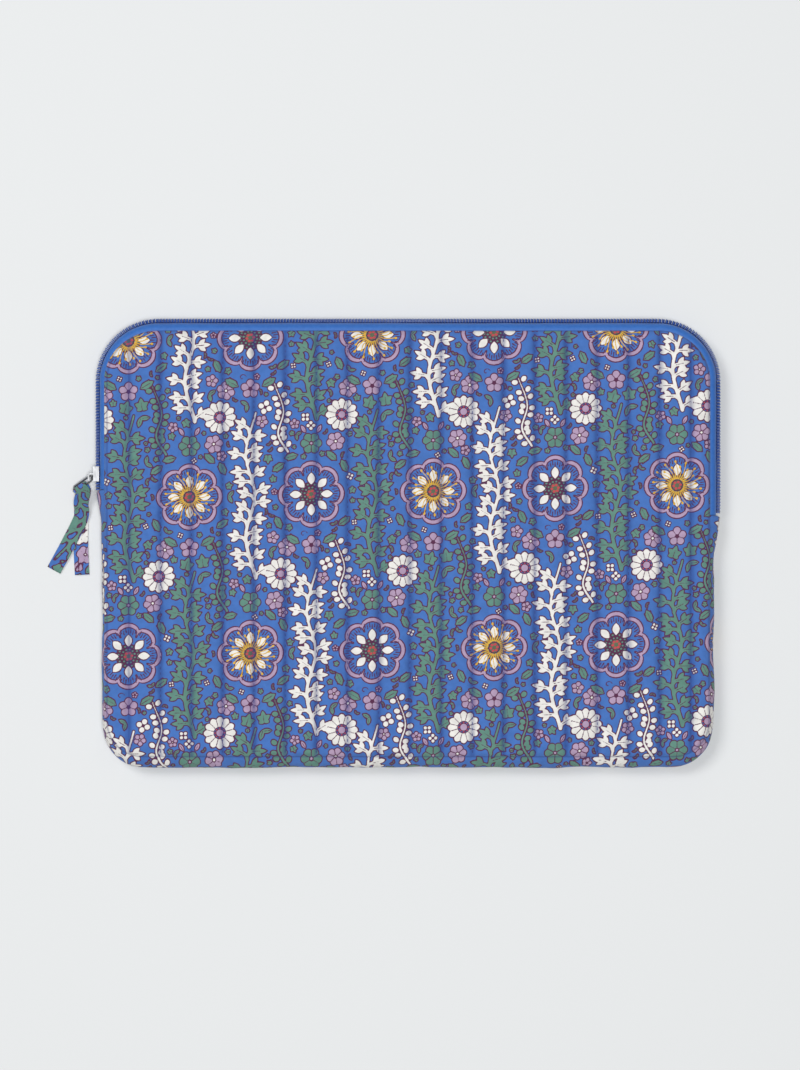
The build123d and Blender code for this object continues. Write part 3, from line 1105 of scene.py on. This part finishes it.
def make_gusset():
    """The strip of printed cloth round the sides and bottom, its ends folded in at the zip."""
    path = edge_path(ZIP_LEFT_END, ZIP_RIGHT_END, -1, 0.6 * MM)
    bulge = gusset_bulge(path)
    ends = np.minimum(path[:, 4], path[-1, 4] - path[:, 4])
    bulge = bulge * (0.62 + 0.38 * np.sqrt(np.clip(ends / (1.4 * MM), 0, 1)))
    level = np.sin(np.linspace(-math.pi / 2, math.pi / 2, 33))
    shape = 1 - np.abs(level) ** 2.3
    wrinkles = soft_noise(path[:, 4:5], level[None, :] * 8 * MM, 7 * MM, 5 * MM, 31)
    outward = (bulge[:, None] + wrinkles * 0.22 * MM) * shape - 0.5 * MM * np.abs(level) ** 8
    points = sweep(path, outward, MIDDLE + 8.0 * MM * level[None, :])
    piece = make_piece("gusset", points.reshape(-1, 3), grid_faces(len(path), len(level)),
                       PRINTED)
    width = (1 - level[None, :]) * GUSSET_CLOTH / 2
    cloth_x = path[:, 0:1] + path[:, 2:3] * width
    cloth_y = path[:, 1:2] + path[:, 3:4] * width
    stamp_print(piece, *on_front_cloth(cloth_x.ravel(), cloth_y.ravel()))
    # Painted shade along both seams of the gusset
    seam = seam_shade(np.minimum(width, GUSSET_CLOTH - width))
    stamp_value(piece, "crease_shade", np.broadcast_to(seam, cloth_x.shape))
    piece.data.flip_normals()
    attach(piece, "base")
    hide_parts("gusset_cloth")

    level = np.linspace(-1, 1, 15)
    inside = np.maximum(bulge - 1.3 * MM, 0.4 * MM)[:, None] * (1 - level ** 2) - 0.9 * MM
    points = sweep(path, inside, MIDDLE + 6.2 * MM * level[None, :])
    lining = make_piece("gusset_inside", points.reshape(-1, 3),
                        grid_faces(len(path), len(level)), LINED)
    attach(lining, "base")
    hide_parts("gusset_lining")


# Cross-section of one zip tape in millimetres: outwards from the panels' outline, and up
# from the sleeve's middle
TAPE_SECTION = (
    (-0.8, 7.1), (0.4, 7.35), (1.5, 7.25), (2.5, 6.8), (3.4, 6.0), (4.1, 4.9), (4.5, 3.6),
    (4.62, 2.2), (4.6, 0.9), (4.15, 0.8), (4.1, 2.2), (3.95, 3.4), (3.6, 4.5), (3.0, 5.4),
    (2.2, 6.1), (1.3, 6.6), (0.3, 6.85), (-0.8, 6.7),
)
COIL_PITCH = 1.66 * MM
COIL_TURN_POINTS = 16
WIRE_SIDES = 6
WIRE = 0.37 * MM


def make_tape(name, path, up):
    """One zip tape, upright for up = 1 and mirrored for -1."""
    section = np.array(TAPE_SECTION) * MM
    ripple = soft_noise(path[:, 4:5], 0 * path[:, 4:5], 9 * MM, 1, 41) * 0.12 * MM
    points = sweep(path, section[None, :, 0] + ripple, MIDDLE + up * section[None, :, 1])
    return make_tube(name, points, TAPED)


def make_coil(name, up, offset):
    """One side of the zip's teeth: loops of nylon wire with their two legs stacked."""
    edge = edge_path(ZIP_LEFT_END, ZIP_RIGHT_END, 1, 0.5 * MM)
    turns = int(edge[-1, 4] / COIL_PITCH) - 1
    turn = np.arange(turns * COIL_TURN_POINTS) / COIL_TURN_POINTS
    phase = turn % 1
    gone = COIL_PITCH * (np.floor(turn) + offset + smooth_step((phase - 0.36) / 0.28))
    path = np.stack([np.interp(gone, edge[:, 4], edge[:, k]) for k in range(5)], axis=1)
    out = 5.75 * MM + 1.05 * MM * np.cos(math.tau * phase)
    height = 1.35 * MM + 1.75 * MM * np.sin(math.tau * phase)
    centre = sweep(path, out[:, None], MIDDLE + up * height[:, None])[:, 0, :]
    forward = unit_rows(np.gradient(centre, axis=0))
    along_zip = np.stack([path[:, 3], -path[:, 2], 0 * gone], axis=1)
    side = unit_rows(np.cross(forward, along_zip))
    other = np.cross(side, forward)
    around = np.arange(WIRE_SIDES) * math.tau / WIRE_SIDES
    normal = np.cos(around)[None, :, None] * side[:, None, :] \
        + np.sin(around)[None, :, None] * other[:, None, :]
    piece = make_tube(name, centre[:, None, :] + WIRE * normal, COILED)
    # Painted shade weight for each wire vertex: how far it faces along the zip, towards the next
    # loop
    stamp_value(piece, "gap_shade", np.abs(np.sum(normal * along_zip[:, None, :], axis=2)))
    return piece


def make_zip():
    """Both tapes and both coils."""
    path = edge_path(ZIP_LEFT_END, ZIP_RIGHT_END, 1, 1.0 * MM)
    front_tape = make_tape("front_tape", path, 1)
    bend_with_flap(front_tape)
    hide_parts("zip_tape_flap", "zip_tape_left_end", "zip_tape_right_end")
    back_tape = make_tape("back_tape", path, -1)
    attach(back_tape, "base")
    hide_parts("zip_tape_back")
    front_coil = make_coil("front_coil", 1, 0.0)
    bend_with_flap(front_coil)
    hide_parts("zip_coil_flap", "zip_coil_left_end", "zip_coil_right_end")
    back_coil = make_coil("back_coil", -1, 0.5)
    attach(back_coil, "base")
    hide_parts("zip_coil_back")


# -------------------- slider, tab and cloth pull

def plate_with_nickel(name, width):
    """Round a CAD node's edges and give it the zip metal."""
    node = frame["nodes"][name]
    bevel = node.modifiers.new("soft_edges", "BEVEL")
    bevel.width = width
    bevel.segments = 3
    bevel.limit_method = "ANGLE"
    node.data.materials.clear()
    node.data.materials.append(PLATED)


LOOP_RADIUS = 1.5 * MM
STRIP_HALF_WIDTH = 4.1 * MM
STRIP_HALF = 0.5 * MM

# The tab's long direction and the middle of the strip's loop round the tab's bar, from the
# joint there, and the points where the strip's two layers part and end
PULL_SWING = next(joint for joint in frame["joints"] if joint["name"] == "cloth_pull_swing")
TAB_ALONG = np.array(PULL_SWING["axis"])
LOOP_CENTRE = np.array(PULL_SWING["pos_m"]) + TAB_ALONG * STRIP_HALF_WIDTH
PART = np.array((-184.0, 15.1, 1.4)) * MM
UNDER_END = np.array((-183.6, -17.5, 0.75)) * MM
OVER_END = np.array((-199.5, -14.9, 0.85)) * MM

# Where on the cloth the strip's two halves are cut from
UNDER_PRINT = (50 * MM, 62 * MM)
OVER_PRINT = (0.5 * MM, -14 * MM)


def unit(vector):
    """A vector scaled to length 1."""
    return vector / np.linalg.norm(vector)


def strip_path():
    """Stations along the cloth pull, from one loose end round the bar to the other."""
    drop = unit(PART - LOOP_CENTRE)
    away = -unit(drop - TAB_ALONG * (drop @ TAB_ALONG))
    above = unit(np.cross(TAB_ALONG, -away))
    above = above if above[2] > 0 else -above
    level = np.array((-1.0, 0.0, 0.0))
    lift = np.array((0.0, 0.0, 0.58 * MM))

    def tail(end, sign):
        sideways = unit(np.cross(end - PART, (0, 0, 1.0)))
        sideways = sideways if sideways[0] < 0 else -sideways
        middle = (PART + end) / 2 + np.array((0.5 * MM * sign, 0, 0.35 * MM * (1 + sign)))
        return [(end, sideways), (middle, sideways), (PART + sign * lift, level)]

    stations = tail(UNDER_END, -1)
    half_way = (PART + LOOP_CENTRE) / 2 - np.array((0, 0, 0.7 * MM))
    slanted = unit(TAB_ALONG + level)
    stations.append((half_way - above * 0.6 * MM, slanted))
    stations.append((LOOP_CENTRE - away * 2.4 * MM - above * 1.05 * MM, TAB_ALONG))
    for angle in np.radians(np.linspace(-90, 90, 7)):
        place = LOOP_CENTRE + LOOP_RADIUS * (math.cos(angle) * away + math.sin(angle) * above)
        stations.append((place, TAB_ALONG))
    stations.append((LOOP_CENTRE - away * 2.4 * MM + above * 1.05 * MM, TAB_ALONG))
    stations.append((half_way + above * 0.6 * MM, slanted))
    stations += tail(OVER_END, 1)[::-1]
    return curve([p for p, _ in stations], 10), curve([a for _, a in stations], 10)


def make_cloth_pull():
    """A narrow folded and edge-stitched strip of the printed cloth, looped on the tab."""
    centre, across = strip_path()
    forward = unit_rows(np.gradient(centre, axis=0))
    across = unit_rows(across - forward * np.sum(across * forward, axis=1)[:, None])
    normal = np.cross(across, forward)
    edge = np.array([(1, 0), (0.985, 0.62), (0.93, 0.94), (0.83, 0.93), (0.74, 0.70),
                     (0.66, 0.92), (0.4, 1.0), (0.13, 0.98)])
    half = np.vstack([edge, (edge * (-1, 1))[::-1]])
    section = np.vstack([half, (half * (-1, -1))[1:-1]])
    swell = 1 + 0.05 * np.sin(np.linspace(0, 23, len(centre)))[:, None, None]
    points = centre[:, None, :] \
        + across[:, None, :] * section[None, :, :1] * STRIP_HALF_WIDTH \
        + normal[:, None, :] * section[None, :, 1:] * STRIP_HALF * swell
    points = np.concatenate([points[:1] * 0.15 + centre[:1, None] * 0.85, points,
                             points[-1:] * 0.15 + centre[-1:, None] * 0.85])
    piece = make_tube("cloth_pull_strip", points, PRINTED)
    gone = np.concatenate([[0], np.cumsum(np.linalg.norm(np.diff(centre, axis=0), axis=1))])
    gone = np.concatenate([gone[:1], gone, gone[-1:]])
    along = np.broadcast_to(gone[:, None], points.shape[:2])
    width = np.broadcast_to((section[:, 0] * STRIP_HALF_WIDTH)[None, :], points.shape[:2])
    under = along.ravel() < gone[-1] * 0.47
    stamp_print(piece, width.ravel() + np.where(under, UNDER_PRINT[0], OVER_PRINT[0]),
                along.ravel() + np.where(under, UNDER_PRINT[1], OVER_PRINT[1]))
    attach(piece, "cloth_pull")
    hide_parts("cloth_pull")


make_front_panel()
make_back_panel()
make_linings()
make_quilting()
make_gusset()
make_zip()
plate_with_nickel("slider", 0.22 * MM)
plate_with_nickel("pull_tab", 0.2 * MM)
make_cloth_pull()
